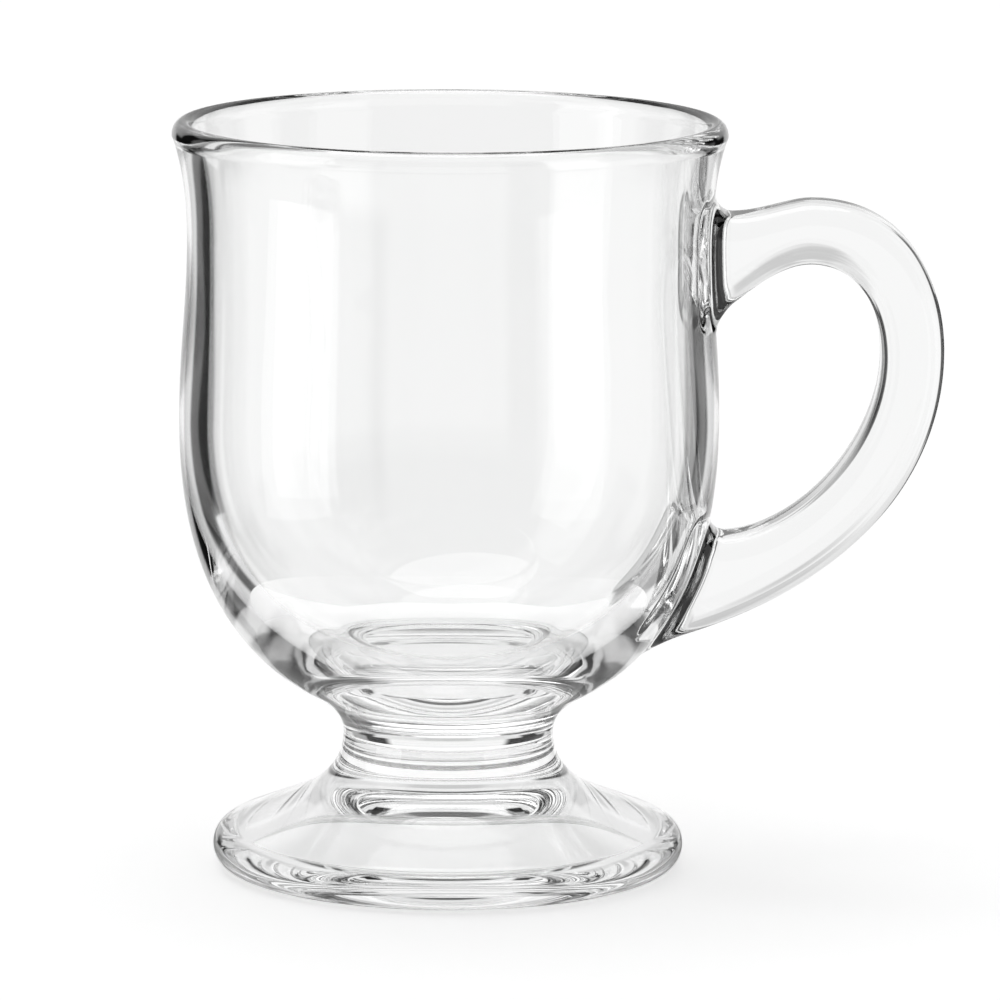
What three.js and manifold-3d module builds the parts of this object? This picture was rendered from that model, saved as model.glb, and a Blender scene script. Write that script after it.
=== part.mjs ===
// Footed glass mug: a round bowl with a flared rim, on a short waisted stem and a round foot,
// with one C-shaped handle. Millimetres, +Z up. The origin is the centre of the ring that the mug
// stands on, on the axis of the bowl, and the handle is on the +X side.
import * as THREE from 'three';
import { mergeVertices } from 'three/addons/utils/BufferGeometryUtils.js';
import Module from 'manifold-3d';

// Foot: a thick plate with a full round edge and a top that rises to the seat of the stem. Its
// underside is hollowed into a dish, so that the mug stands on a narrow ring inside the edge.
const FOOT_RADIUS = 34.5;
const FOOT_EDGE_RADIUS = 3.3;
const FOOT_HEIGHT = 11.6;
const FOOT_TOP_SLOPE = THREE.MathUtils.degToRad(22);
const FOOT_SEAT_SLOPE = THREE.MathUtils.degToRad(33);
const FOOT_EDGE_SOFTNESS = 0.5;
const FOOT_SEAT_SOFTNESS = 0.2;
const FOOT_THICKNESS = 2.6;
const RING_WIDTH = 1.2;
const DISH_EDGE = 2.2;
const DISH_SLOPE = THREE.MathUtils.degToRad(27);
const DISH_SOFTNESS = 0.45;

// Stem: solid, drawn in to a neck, from which it flares to its two flat ends.
const STEM_HEIGHT = 14.6;
const NECK_RADIUS = 15.4;
const FOOT_FLARE = 5.0;
const BOWL_FLARE = 5.3;
const NECK_HEIGHT = 8.2;
const NECK_SOFTNESS = 0.5;

// Bowl, with heights measured from its seat on the stem. The underside is a superellipse that
// runs from the seat out to the belly. Above the belly the wall draws in to a waist and flares.
const BOWL_HEIGHT = 83.8;
const BELLY_RADIUS = 39.35;
const BELLY_HEIGHT = 40.8;
const BELLY_FULLNESS = 2.4;
const BELLY_WALL = 4.0;
const FLOOR_THICKNESS = 3.2;
const WAIST_DRAW = 1.2;
const WAIST_HEIGHT = 66.8;
const WAIST_WALL = 3.3;
const WAIST_SOFTNESS = 0.37;
const RIM_FLARE = 2.2;
const RIM_SLOPE = THREE.MathUtils.degToRad(20);
const RIM_SOFTNESS = 0.3;
const LIP_WIDTH = 3.35;
const LIP_HEIGHT = 2.1;

// Handle: lofted between an outer and an inner rail, both in the XZ plane. Its reaches are
// measured from the belly and its heights from the bowl's seat.
const HANDLE_REACH = 32.45;
const HANDLE_THICKNESS = 9.0;
const HANDLE_DEPTH = 12.0;
const HANDLE_SQUARENESS = 3.2;
const HANDLE_ROUNDNESS = 0.56;
const CROWN_REACH = 13.5;
const CROWN_HEIGHT = 72.3;
const WIDEST_HEIGHT = 50.2;
const UPPER_PAD_TOP = 72.4;
const UPPER_PAD_BOTTOM = 54.8;
const LOWER_PAD_TOP = 25.3;
const LOWER_PAD_BOTTOM = 7.4;
const PAD_SPREAD = 3.0;
const PAD_SPREAD_LENGTH = 4.5;
const ROOT_DEPTH = 3.0;

// How far each rail runs on along its tangent, as (outwards, upwards), before it bends away.
const OUTER_CROWN_PULL = new THREE.Vector2(1.7, -4.1);
const INNER_CROWN_PULL = new THREE.Vector2(4.1, 4.0);
const CROWN_PULL = 4.8;
const OUTER_SWEEP_PULL = 16.6;
const INNER_SWEEP_PULL = 11.8;
const OUTER_ROOT_PULL = new THREE.Vector2(29.0, 9.4);
const INNER_ROOT_PULL = new THREE.Vector2(10.1, -7.0);

// The handle's ends follow the wall of the bowl at this clearance.
const HANDLE_CLEARANCE = 0.3;

// How finely the curves are divided.
const TURNS = 48;
const CURVE_STEPS = 5;
const BELLY_STEPS = 10;
const LIP_STEPS = 3;
const RAIL_STEPS = 13;
const SECTION_SIDES = 20;

const bowlSeat = FOOT_HEIGHT + STEM_HEIGHT;
const bellyLevel = bowlSeat + BELLY_HEIGHT;
const waistLevel = bowlSeat + WAIST_HEIGHT;
const lipLevel = bowlSeat + BOWL_HEIGHT - LIP_HEIGHT;
const footSeatRadius = NECK_RADIUS + FOOT_FLARE;
const bowlSeatRadius = NECK_RADIUS + BOWL_FLARE;
const waistRadius = BELLY_RADIUS - WAIST_DRAW;
const rimRadius = waistRadius + RIM_FLARE;

// How deep the underside would run if it were carried on to the axis, and its rise at the seat.
const seatShare = bowlSeatRadius / BELLY_RADIUS;
const undersideDepth = BELLY_HEIGHT / (1 - seatShare ** BELLY_FULLNESS) ** (1 / BELLY_FULLNESS);
const seatSharpness = (seatShare * undersideDepth) / BELLY_HEIGHT;
const seatRise = (undersideDepth / BELLY_RADIUS) * seatSharpness ** (BELLY_FULLNESS - 1);

const wasm = await Module();
wasm.setup();

// A profile of (radius, height) points turned about the Z axis.
function turned(profile) {
  return new THREE.LatheGeometry(profile, TURNS).rotateX(Math.PI / 2);
}

// The points of a superellipse that narrows from a radius, at a level, to a point one depth below,
// taken upwards from a given height under that level.
function belliedPoints(radius, level, depth, start) {
  const power = 2 / BELLY_FULLNESS;
  const startAngle = Math.asin(Math.min(1, start / depth) ** (1 / power));
  const points = [];
  for (let step = 0; step <= BELLY_STEPS; step += 1) {
    const angle = startAngle * (1 - step / BELLY_STEPS);
    const across = radius * Math.max(0, Math.cos(angle)) ** power;
    points.push(new THREE.Vector2(across, level - depth * Math.sin(angle) ** power));
  }
  return points;
}

// The wall above the belly: in to the waist, then out to the edge of the lip.
function upperWall(bellyRadius, drawnRadius, lipRadius) {
  const rise = (waistLevel - bellyLevel) * WAIST_SOFTNESS;
  const flare = lipLevel - waistLevel;
  const lean = flare * RIM_SOFTNESS;
  const wall = new THREE.Path().moveTo(bellyRadius, bellyLevel);
  wall.bezierCurveTo(
    bellyRadius, bellyLevel + rise,
    drawnRadius, waistLevel - rise,
    drawnRadius, waistLevel,
  );
  wall.bezierCurveTo(
    drawnRadius, waistLevel + flare * WAIST_SOFTNESS,
    lipRadius - lean * Math.sin(RIM_SLOPE), lipLevel - lean * Math.cos(RIM_SLOPE),
    lipRadius, lipLevel,
  );
  return wall.getPoints(CURVE_STEPS);
}

// The outside of the bowl, from the edge of its seat up to the edge of the lip.
function bowlOutside() {
  const underside = belliedPoints(BELLY_RADIUS, bellyLevel, undersideDepth, BELLY_HEIGHT);
  const wall = upperWall(BELLY_RADIUS, waistRadius, rimRadius);
  return [...underside, ...wall.slice(1)];
}

// The inside of the bowl, from the middle of its floor up to the inner edge of the lip.
function bowlInside() {
  const bellyRadius = BELLY_RADIUS - BELLY_WALL;
  const depth = BELLY_HEIGHT - FLOOR_THICKNESS;
  const floor = new THREE.Vector2(0, bowlSeat + FLOOR_THICKNESS);
  const hollow = belliedPoints(bellyRadius, bellyLevel, depth, depth);
  const wall = upperWall(bellyRadius, waistRadius - WAIST_WALL, rimRadius - LIP_WIDTH);
  return [floor, ...hollow.slice(1), ...wall.slice(1)];
}

// The bowl: flat seat, outside, rounded lip, inside.
function bowlGeometry() {
  const lip = new THREE.Path();
  lip.absellipse(rimRadius - LIP_WIDTH / 2, lipLevel, LIP_WIDTH / 2, LIP_HEIGHT, 0, Math.PI, false, 0);
  return turned([
    new THREE.Vector2(0, bowlSeat),
    ...bowlOutside(),
    ...lip.getPoints(LIP_STEPS).slice(1, -1),
    ...bowlInside().reverse(),
  ]);
}

// The stem: from its seat on the foot in to the neck and out again to the seat of the bowl.
function stemGeometry() {
  const neckLevel = FOOT_HEIGHT + NECK_HEIGHT;
  const lower = NECK_HEIGHT * NECK_SOFTNESS;
  const upper = (STEM_HEIGHT - NECK_HEIGHT) * NECK_SOFTNESS;
  const lowerIn = FOOT_FLARE * NECK_SOFTNESS;
  const upperIn = BOWL_FLARE * NECK_SOFTNESS;
  const side = new THREE.Path().moveTo(0, FOOT_HEIGHT).lineTo(footSeatRadius, FOOT_HEIGHT);
  side.bezierCurveTo(
    footSeatRadius - lowerIn, FOOT_HEIGHT + lowerIn * Math.tan(FOOT_SEAT_SLOPE),
    NECK_RADIUS, neckLevel - lower,
    NECK_RADIUS, neckLevel,
  );
  side.bezierCurveTo(
    NECK_RADIUS, neckLevel + upper,
    bowlSeatRadius - upperIn, bowlSeat - upperIn * seatRise,
    bowlSeatRadius, bowlSeat,
  );
  side.lineTo(0, bowlSeat);
  return turned(side.getPoints(CURVE_STEPS));
}

// The underside of the foot, from the middle of its dish out to the standing ring.
function footUnderside(ringRadius) {
  const top = FOOT_HEIGHT - FOOT_THICKNESS;
  const edge = ringRadius - DISH_EDGE;
  const edgeLevel = (DISH_EDGE / 2) * Math.tan(DISH_SLOPE);
  const run = edge * DISH_SOFTNESS;
  const underside = new THREE.Path().moveTo(0, top);
  underside.bezierCurveTo(run, top, edge - run, edgeLevel + run * Math.tan(DISH_SLOPE), edge, edgeLevel);
  underside.quadraticCurveTo(ringRadius - DISH_EDGE / 2, 0, ringRadius, 0);
  return underside.getPoints(CURVE_STEPS);
}

// The foot: hollow underside, standing ring, round edge, and a top that rises to the stem's seat.
function footGeometry() {
  const edgeCentre = FOOT_RADIUS - FOOT_EDGE_RADIUS;
  const topRadius = edgeCentre + FOOT_EDGE_RADIUS * Math.sin(FOOT_TOP_SLOPE);
  const topLevel = FOOT_EDGE_RADIUS * (1 + Math.cos(FOOT_TOP_SLOPE));
  const edgeRun = (topRadius - footSeatRadius) * FOOT_EDGE_SOFTNESS;
  const seatRun = (topRadius - footSeatRadius) * FOOT_SEAT_SOFTNESS;
  const edgeEnd = Math.PI / 2 - FOOT_TOP_SLOPE;
  const side = new THREE.Path().moveTo(edgeCentre, 0);
  side.absarc(edgeCentre, FOOT_EDGE_RADIUS, FOOT_EDGE_RADIUS, -Math.PI / 2, edgeEnd, false);
  side.bezierCurveTo(
    topRadius - edgeRun, topLevel + edgeRun * Math.tan(FOOT_TOP_SLOPE),
    footSeatRadius + seatRun, FOOT_HEIGHT - seatRun * Math.tan(FOOT_SEAT_SLOPE),
    footSeatRadius, FOOT_HEIGHT,
  );
  side.lineTo(0, FOOT_HEIGHT);
  return turned([...footUnderside(edgeCentre - RING_WIDTH), ...side.getPoints(CURVE_STEPS)]);
}

// The outer radius of the bowl at a height above its seat.
function wallRadius(height) {
  const wall = bowlOutside();
  const level = bowlSeat + height;
  const above = Math.max(1, wall.findIndex((point) => point.y >= level));
  const share = (level - wall[above - 1].y) / (wall[above].y - wall[above - 1].y);
  return THREE.MathUtils.lerp(wall[above - 1].x, wall[above].x, share);
}

// One rail of the handle: off the wall, over the crown, round the widest point, back to the wall.
function handleRail(inset, upperPad, lowerPad, crownPull, sweepPull, rootPull) {
  const upper = new THREE.Vector2(wallRadius(upperPad), bowlSeat + upperPad);
  const crown = new THREE.Vector2(BELLY_RADIUS + CROWN_REACH, bowlSeat + CROWN_HEIGHT - inset);
  const widest = new THREE.Vector2(BELLY_RADIUS + HANDLE_REACH - inset, bowlSeat + WIDEST_HEIGHT);
  const lower = new THREE.Vector2(wallRadius(lowerPad), bowlSeat + lowerPad);
  const across = (widest.x - crown.x) * HANDLE_ROUNDNESS;
  const down = (crown.y - widest.y) * HANDLE_ROUNDNESS;
  const rail = new THREE.Path().moveTo(upper.x - ROOT_DEPTH, upper.y).lineTo(upper.x, upper.y);
  rail.bezierCurveTo(
    upper.x + crownPull.x, upper.y + crownPull.y,
    crown.x - CROWN_PULL, crown.y,
    crown.x, crown.y,
  );
  rail.bezierCurveTo(crown.x + across, crown.y, widest.x, widest.y + down, widest.x, widest.y);
  rail.bezierCurveTo(
    widest.x, widest.y - sweepPull,
    lower.x + rootPull.x, lower.y + rootPull.y,
    lower.x, lower.y,
  );
  rail.lineTo(lower.x - ROOT_DEPTH, lower.y);
  return rail.getPoints(RAIL_STEPS);
}

// The handle before it is fitted to the bowl: a rounded section carried between the two rails,
// which spreads sideways where it nears the wall.
function handleLoft() {
  const outer = handleRail(
    0, UPPER_PAD_TOP, LOWER_PAD_BOTTOM, OUTER_CROWN_PULL, OUTER_SWEEP_PULL, OUTER_ROOT_PULL,
  );
  const inner = handleRail(
    HANDLE_THICKNESS, UPPER_PAD_BOTTOM, LOWER_PAD_TOP, INNER_CROWN_PULL, INNER_SWEEP_PULL, INNER_ROOT_PULL,
  );
  const middles = outer.map((point, ring) => point.clone().lerp(inner[ring], 0.5));
  const roots = [middles[1], middles[middles.length - 2]];
  const last = middles.length - 1;
  const vertices = [];
  const faces = [];
  middles.forEach((middle, ring) => {
    const half = outer[ring].clone().sub(middle);
    const buried = ring === 0 || ring === last;
    const away = buried ? 0 : Math.min(...roots.map((root) => root.distanceTo(middle)));
    const spread = PAD_SPREAD * Math.max(0, 1 - away / PAD_SPREAD_LENGTH) ** 2;
    for (let side = 0; side < SECTION_SIDES; side += 1) {
      const angle = (2 * Math.PI * side) / SECTION_SIDES;
      const along = squared(Math.cos(angle));
      const sideways = squared(Math.sin(angle)) * (HANDLE_DEPTH / 2 + spread);
      vertices.push(middle.x + half.x * along, sideways, middle.y + half.y * along);
    }
  });
  const corner = (ring, side) => ring * SECTION_SIDES + (side % SECTION_SIDES);
  for (let side = 0; side < SECTION_SIDES; side += 1) {
    for (let ring = 0; ring < last; ring += 1) {
      const [a, b] = [corner(ring, side), corner(ring, side + 1)];
      const [c, d] = [corner(ring + 1, side + 1), corner(ring + 1, side)];
      faces.push(a, c, b, a, d, c);
    }
  }
  for (let side = 1; side < SECTION_SIDES - 1; side += 1) {
    faces.push(corner(0, 0), corner(0, side), corner(0, side + 1));
    faces.push(corner(last, 0), corner(last, side + 1), corner(last, side));
  }
  const loft = new THREE.BufferGeometry();
  loft.setAttribute('position', new THREE.Float32BufferAttribute(vertices, 3));
  loft.setIndex(faces);
  return loft;
}

// A sine or cosine flattened so that the section becomes a rounded square.
function squared(value) {
  return Math.sign(value) * Math.abs(value) ** (2 / HANDLE_SQUARENESS);
}

// The space that the handle keeps clear of: the bowl, filled, and grown by the clearance.
function filledBowl() {
  const wall = bowlOutside();
  const grown = wall.map((point, index) => {
    const before = wall[Math.max(0, index - 1)];
    const after = wall[Math.min(wall.length - 1, index + 1)];
    const run = after.clone().sub(before).normalize();
    return new THREE.Vector2(point.x + HANDLE_CLEARANCE * run.y, point.y - HANDLE_CLEARANCE * run.x);
  });
  const bottom = new THREE.Vector2(0, grown[0].y);
  const top = new THREE.Vector2(0, grown[grown.length - 1].y);
  return turned([bottom, ...grown, top]);
}

// A closed geometry as a solid that can be cut.
function solidOf(geometry) {
  const bare = geometry.clone();
  bare.deleteAttribute('normal');
  bare.deleteAttribute('uv');
  const merged = mergeVertices(bare);
  const index = Array.from(merged.index.array);
  const triangles = [];
  for (let first = 0; first < index.length; first += 3) {
    const [a, b, c] = index.slice(first, first + 3);
    if (a !== b && b !== c && c !== a) {
      triangles.push(a, b, c);
    }
  }
  return new wasm.Manifold(new wasm.Mesh({
    numProp: 3,
    vertProperties: new Float32Array(merged.attributes.position.array),
    triVerts: new Uint32Array(triangles),
  }));
}

// The handle, with both ends cut to sit on the wall of the bowl.
function handleGeometry() {
  const fitted = solidOf(handleLoft()).subtract(solidOf(filledBowl())).getMesh();
  const geometry = new THREE.BufferGeometry();
  geometry.setAttribute('position', new THREE.Float32BufferAttribute(fitted.vertProperties, 3));
  geometry.setIndex(Array.from(fitted.triVerts));
  return geometry;
}

// Clear soda-lime glass, with the faint cool tint that shows in thick glass.
function clearGlass(colour) {
  return new THREE.MeshStandardMaterial({
    color: colour,
    roughness: 0.04,
    metalness: 0,
    transparent: true,
    opacity: 0.35,
  });
}

function piece(name, geometry, colour) {
  const mesh = new THREE.Mesh(geometry, clearGlass(colour));
  mesh.name = name;
  return mesh;
}

const mug = new THREE.Group();
mug.add(piece('bowl', bowlGeometry(), 0xf4f7f7));
mug.add(piece('stem', stemGeometry(), 0xeef3f2));
mug.add(piece('foot', footGeometry(), 0xf0f4f3));
mug.add(piece('handle', handleGeometry(), 0xf2f5f5));

export default mug;
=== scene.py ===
import math

import bmesh
import bpy
import numpy as np
from mathutils import Matrix, Vector
from mathutils.geometry import delaunay_2d_cdt


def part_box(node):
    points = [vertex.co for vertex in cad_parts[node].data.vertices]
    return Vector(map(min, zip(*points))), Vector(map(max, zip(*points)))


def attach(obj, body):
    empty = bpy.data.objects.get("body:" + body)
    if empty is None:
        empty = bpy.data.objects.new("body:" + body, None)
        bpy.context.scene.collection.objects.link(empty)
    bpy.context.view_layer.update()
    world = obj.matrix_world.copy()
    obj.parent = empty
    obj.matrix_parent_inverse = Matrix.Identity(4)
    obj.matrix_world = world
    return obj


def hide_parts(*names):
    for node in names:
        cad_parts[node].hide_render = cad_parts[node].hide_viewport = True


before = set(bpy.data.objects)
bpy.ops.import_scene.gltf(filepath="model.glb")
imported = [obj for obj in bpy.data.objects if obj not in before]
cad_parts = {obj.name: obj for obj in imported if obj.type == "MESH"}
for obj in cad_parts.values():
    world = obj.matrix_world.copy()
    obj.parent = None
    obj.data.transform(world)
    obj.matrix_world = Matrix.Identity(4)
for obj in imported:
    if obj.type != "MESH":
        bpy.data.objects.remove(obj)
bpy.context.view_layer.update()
scene = bpy.context.scene
scene.view_settings.view_transform = "Standard"


# Camera: about a metre in front of the mug and looking slightly down on its rim, with a long
# lens, so that the bowl is seen nearly in elevation and the handle stands on the right.
CAMERA_PLACE = Vector((0.00745, -1.065, 0.237))
CAMERA_PITCH = 0.170
CAMERA_ROLL = 0.0045
CAMERA_LENS = 266.4
CAMERA_SENSOR = 36.0
CAMERA_NEAR = 0.01

camera_data = bpy.data.cameras.new("photo_camera")
camera_data.lens = CAMERA_LENS
camera_data.sensor_width = CAMERA_SENSOR
camera_data.clip_start = CAMERA_NEAR
camera = bpy.data.objects.new("photo_camera", camera_data)
camera_tilt = Matrix.Rotation(math.pi / 2 - CAMERA_PITCH, 4, "X")
camera_roll = Matrix.Rotation(CAMERA_ROLL, 4, "Z")
camera.matrix_world = Matrix.Translation(CAMERA_PLACE) @ camera_tilt @ camera_roll
scene.collection.objects.link(camera)
scene.camera = camera


# Foot: the round plate that the mug stands on, pressed in clear soda-lime glass with a full
# round edge and a hollow underside. Its top rises to a flat seat, where the stem is fused on
# while hot.
foot_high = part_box("foot")[1]
FOOT_RADIUS = foot_high[1]
FOOT_HEIGHT = foot_high[2]
FOOT_EDGE_RADIUS = 0.0033
FOOT_SEAT_RADIUS = 0.0204
FOOT_TOP_SLOPE = math.radians(22)
FOOT_SEAT_SLOPE = math.radians(33)
FOOT_EDGE_SOFTNESS = 0.5
FOOT_SEAT_SOFTNESS = 0.2
DISH_RADIUS = 0.0300
DISH_HEIGHT = 0.0090
DISH_SLOPE = math.radians(27)
DISH_EDGE = 0.0022
DISH_SOFTNESS = 0.45
FOOT_TINT = (0.972, 0.977, 0.975, 1.0)
FOOT_WAVE_SCALE = 70.0
FOOT_WAVE_HEIGHT = 0.00002

TURNS = 240
BAND_STEPS = 60
MERGE_DISTANCE = 1e-6
SHARP_ANGLE = math.radians(40)

GLASS_IOR = 1.51
SKIN_TINT = (0.97, 0.985, 0.98, 1.0)
SKIN_CLEAR = (1.0, 1.0, 1.0, 1.0)
SKIN_HAZE = 0.004
WAVE_SCALE = 60.0
WAVE_DETAIL = 1.0
WAVE_ROUGHNESS = 0.35
MELT_SCALE = 35.0
MELT_DETAIL = 2.0
TOUCH_SCALE = 140.0
TOUCH_DETAIL = 3.0


def new_group(name, kind, inputs, outputs):
    """A node tree with named sockets: inputs are (name, socket type, value)."""
    tree = bpy.data.node_groups.new(name, kind)
    for label, socket_type, value in inputs:
        socket = tree.interface.new_socket(name=label, in_out="INPUT", socket_type=socket_type)
        if value is not None:
            socket.default_value = value
    for label, socket_type in outputs:
        tree.interface.new_socket(name=label, in_out="OUTPUT", socket_type=socket_type)
    tree.nodes.new("NodeGroupInput")
    tree.nodes.new("NodeGroupOutput")
    return tree


def add_node(tree, kind, links=None, **settings):
    """A node with its settings, and its inputs set from values or linked from sockets."""
    node = tree.nodes.new(kind)
    for key, value in settings.items():
        setattr(node, key, value)
    for key, value in (links or {}).items():
        socket = node.inputs[key]
        if isinstance(value, bpy.types.NodeSocket):
            tree.links.new(value, socket)
        else:
            socket.default_value = value
    return node


def glass_skin_group():
    """The surface of pressed and fire-polished glass: a slow waviness left by the mould and the
    flame, faint shifts of tint in the melt, and a very light handling haze."""
    tree = new_group(
        "glass_skin",
        "ShaderNodeTree",
        [
            ("Tint", "NodeSocketColor", SKIN_TINT),
            ("Clear", "NodeSocketColor", SKIN_CLEAR),
            ("Wave Scale", "NodeSocketFloat", WAVE_SCALE),
            ("Haze", "NodeSocketFloat", SKIN_HAZE),
        ],
        [
            ("Colour", "NodeSocketColor"),
            ("Roughness", "NodeSocketFloat"),
            ("Height", "NodeSocketFloat"),
        ],
    )
    sizes = tree.nodes["Group Input"].outputs
    place = add_node(tree, "ShaderNodeTexCoord").outputs["Object"]
    wave = add_node(
        tree, "ShaderNodeTexNoise",
        {
            "Vector": place,
            "Scale": sizes["Wave Scale"],
            "Detail": WAVE_DETAIL,
            "Roughness": WAVE_ROUGHNESS,
        },
    )
    melt = add_node(
        tree, "ShaderNodeTexNoise", {"Vector": place, "Scale": MELT_SCALE, "Detail": MELT_DETAIL}
    )
    touch = add_node(
        tree, "ShaderNodeTexNoise", {"Vector": place, "Scale": TOUCH_SCALE, "Detail": TOUCH_DETAIL}
    )
    tint = add_node(tree, "ShaderNodeMix", data_type="RGBA")
    tree.links.new(melt.outputs["Fac"], tint.inputs["Factor"])
    tree.links.new(sizes["Clear"], tint.inputs[6])
    tree.links.new(sizes["Tint"], tint.inputs[7])
    haze = add_node(
        tree, "ShaderNodeMath", {0: touch.outputs["Fac"], 1: sizes["Haze"]}, operation="MULTIPLY"
    )
    result = tree.nodes["Group Output"].inputs
    tree.links.new(tint.outputs[2], result["Colour"])
    tree.links.new(haze.outputs[0], result["Roughness"])
    tree.links.new(wave.outputs["Fac"], result["Height"])
    return tree


glass_skin = glass_skin_group()


def clear_glass(name, tint, wave_scale, wave_height):
    """Clear glass whose waviness, tint and haze come from the shared skin."""
    material = bpy.data.materials.new(name)
    material.use_nodes = True
    tree = material.node_tree
    shader = tree.nodes["Principled BSDF"]
    skin = add_node(tree, "ShaderNodeGroup", node_tree=glass_skin)
    skin.inputs["Tint"].default_value = tint
    skin.inputs["Wave Scale"].default_value = wave_scale
    bump = add_node(
        tree, "ShaderNodeBump",
        {"Height": skin.outputs["Height"], "Strength": 1.0, "Distance": wave_height},
    )
    tree.links.new(skin.outputs["Colour"], shader.inputs["Base Color"])
    tree.links.new(skin.outputs["Roughness"], shader.inputs["Roughness"])
    tree.links.new(bump.outputs["Normal"], shader.inputs["Normal"])
    shader.inputs["IOR"].default_value = GLASS_IOR
    shader.inputs["Transmission Weight"].default_value = 1.0
    return material


def fused_joint():
    """The face inside the melt where two pieces were fused: nothing of it is left to see."""
    material = bpy.data.materials.new("fused_joint")
    material.use_nodes = True
    shader = material.node_tree.nodes["Principled BSDF"]
    skin = add_node(material.node_tree, "ShaderNodeGroup", node_tree=glass_skin)
    material.node_tree.links.new(skin.outputs["Colour"], shader.inputs["Base Color"])
    shader.inputs["IOR"].default_value = 1.0
    shader.inputs["Alpha"].default_value = 0.0
    return material


joint_glass = fused_joint()


def turned_band_group():
    """One band of a turned surface: a curve in the XZ plane, from Start to End and drawn by its
    two pulls, carried once round the Z axis."""
    tree = new_group(
        "turned_band",
        "GeometryNodeTree",
        [
            ("Start", "NodeSocketVector", None),
            ("Start Pull", "NodeSocketVector", None),
            ("End Pull", "NodeSocketVector", None),
            ("End", "NodeSocketVector", None),
            ("Steps", "NodeSocketInt", BAND_STEPS),
            ("Turns", "NodeSocketInt", TURNS),
        ],
        [("Geometry", "NodeSocketGeometry")],
    )
    ends = tree.nodes["Group Input"].outputs
    columns = add_node(tree, "ShaderNodeMath", {0: ends["Turns"], 1: 1.0}, operation="ADD")
    rows = add_node(tree, "ShaderNodeMath", {0: ends["Steps"], 1: 1.0}, operation="ADD")
    sheet = add_node(
        tree, "GeometryNodeMeshGrid",
        {"Size X": 1.0, "Size Y": 1.0, "Vertices X": columns.outputs[0], "Vertices Y": rows.outputs[0]},
    )
    place = add_node(tree, "GeometryNodeInputPosition")
    flat = add_node(tree, "ShaderNodeSeparateXYZ", {"Vector": place.outputs[0]})
    angle = add_node(
        tree, "ShaderNodeMath",
        {0: flat.outputs["X"], 1: 2 * math.pi, 2: math.pi}, operation="MULTIPLY_ADD",
    )
    along = add_node(tree, "ShaderNodeMath", {0: flat.outputs["Y"], 1: 0.5}, operation="ADD")

    def between(first, second):
        mix = add_node(tree, "ShaderNodeMix", data_type="VECTOR")
        tree.links.new(along.outputs[0], mix.inputs[0])
        tree.links.new(first, mix.inputs[4])
        tree.links.new(second, mix.inputs[5])
        return mix.outputs[1]

    level = [ends["Start"], ends["Start Pull"], ends["End Pull"], ends["End"]]
    while len(level) > 1:
        level = [between(first, second) for first, second in zip(level, level[1:])]
    turn = add_node(
        tree, "ShaderNodeVectorRotate",
        {"Vector": level[0], "Angle": angle.outputs[0]}, rotation_type="Z_AXIS",
    )
    band = add_node(
        tree, "GeometryNodeSetPosition",
        {"Geometry": sheet.outputs["Mesh"], "Position": turn.outputs[0]},
    )
    tree.links.new(band.outputs[0], tree.nodes["Group Output"].inputs["Geometry"])
    return tree


turned_band = turned_band_group()


def turned_tree(name, corners, bands, fused_ends):
    """The tree of one solid turned piece. Corners names the points of its profile, bands lists
    the four of them that draw each band, and fused ends lists the edges of its flat ends."""
    inputs = [(label, "NodeSocketVector", place) for label, place in corners.items()]
    inputs += [("Steps", "NodeSocketInt", BAND_STEPS), ("Turns", "NodeSocketInt", TURNS)]
    inputs += [("Glass", "NodeSocketMaterial", None), ("Joint", "NodeSocketMaterial", None)]
    tree = new_group(name, "GeometryNodeTree", inputs, [("Geometry", "NodeSocketGeometry")])
    sizes = tree.nodes["Group Input"].outputs
    join = add_node(tree, "GeometryNodeJoinGeometry")
    for band in bands:
        strip = add_node(tree, "GeometryNodeGroup", node_tree=turned_band)
        for label, corner in zip(("Start", "Start Pull", "End Pull", "End"), band):
            tree.links.new(sizes[corner], strip.inputs[label])
        tree.links.new(sizes["Steps"], strip.inputs["Steps"])
        tree.links.new(sizes["Turns"], strip.inputs["Turns"])
        tree.links.new(strip.outputs[0], join.inputs[0])
    for corner in fused_ends:
        edge = add_node(tree, "ShaderNodeSeparateXYZ", {"Vector": sizes[corner]})
        disc = add_node(
            tree, "GeometryNodeMeshCircle",
            {"Vertices": sizes["Turns"], "Radius": edge.outputs["X"]}, fill_type="TRIANGLE_FAN",
        )
        lift = add_node(tree, "ShaderNodeCombineXYZ", {"Z": edge.outputs["Z"]})
        placed = add_node(
            tree, "GeometryNodeTransform",
            {"Geometry": disc.outputs[0], "Translation": lift.outputs[0]},
        )
        marked = add_node(
            tree, "GeometryNodeStoreNamedAttribute",
            {"Geometry": placed.outputs[0], "Name": "fused", "Value": True},
            data_type="BOOLEAN", domain="FACE",
        )
        tree.links.new(marked.outputs[0], join.inputs[0])
    merged = add_node(
        tree, "GeometryNodeMergeByDistance",
        {"Geometry": join.outputs[0], "Distance": MERGE_DISTANCE},
    )
    real = add_node(tree, "GeometryNodeRealizeInstances", {"Geometry": merged.outputs[0]})
    clear = add_node(
        tree, "GeometryNodeSetMaterial",
        {"Geometry": real.outputs[0], "Material": sizes["Glass"]},
    )
    mark = add_node(tree, "GeometryNodeInputNamedAttribute", {"Name": "fused"}, data_type="BOOLEAN")
    joined = add_node(
        tree, "GeometryNodeSetMaterial",
        {"Geometry": clear.outputs[0], "Selection": mark.outputs[0], "Material": sizes["Joint"]},
    )
    tree.links.new(joined.outputs[0], tree.nodes["Group Output"].inputs["Geometry"])
    return tree


def face_out(mesh):
    """Turns every face of a closed mesh outwards."""
    work = bmesh.new()
    work.from_mesh(mesh)
    bmesh.ops.recalc_face_normals(work, faces=work.faces)
    work.to_mesh(mesh)
    work.free()


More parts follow.
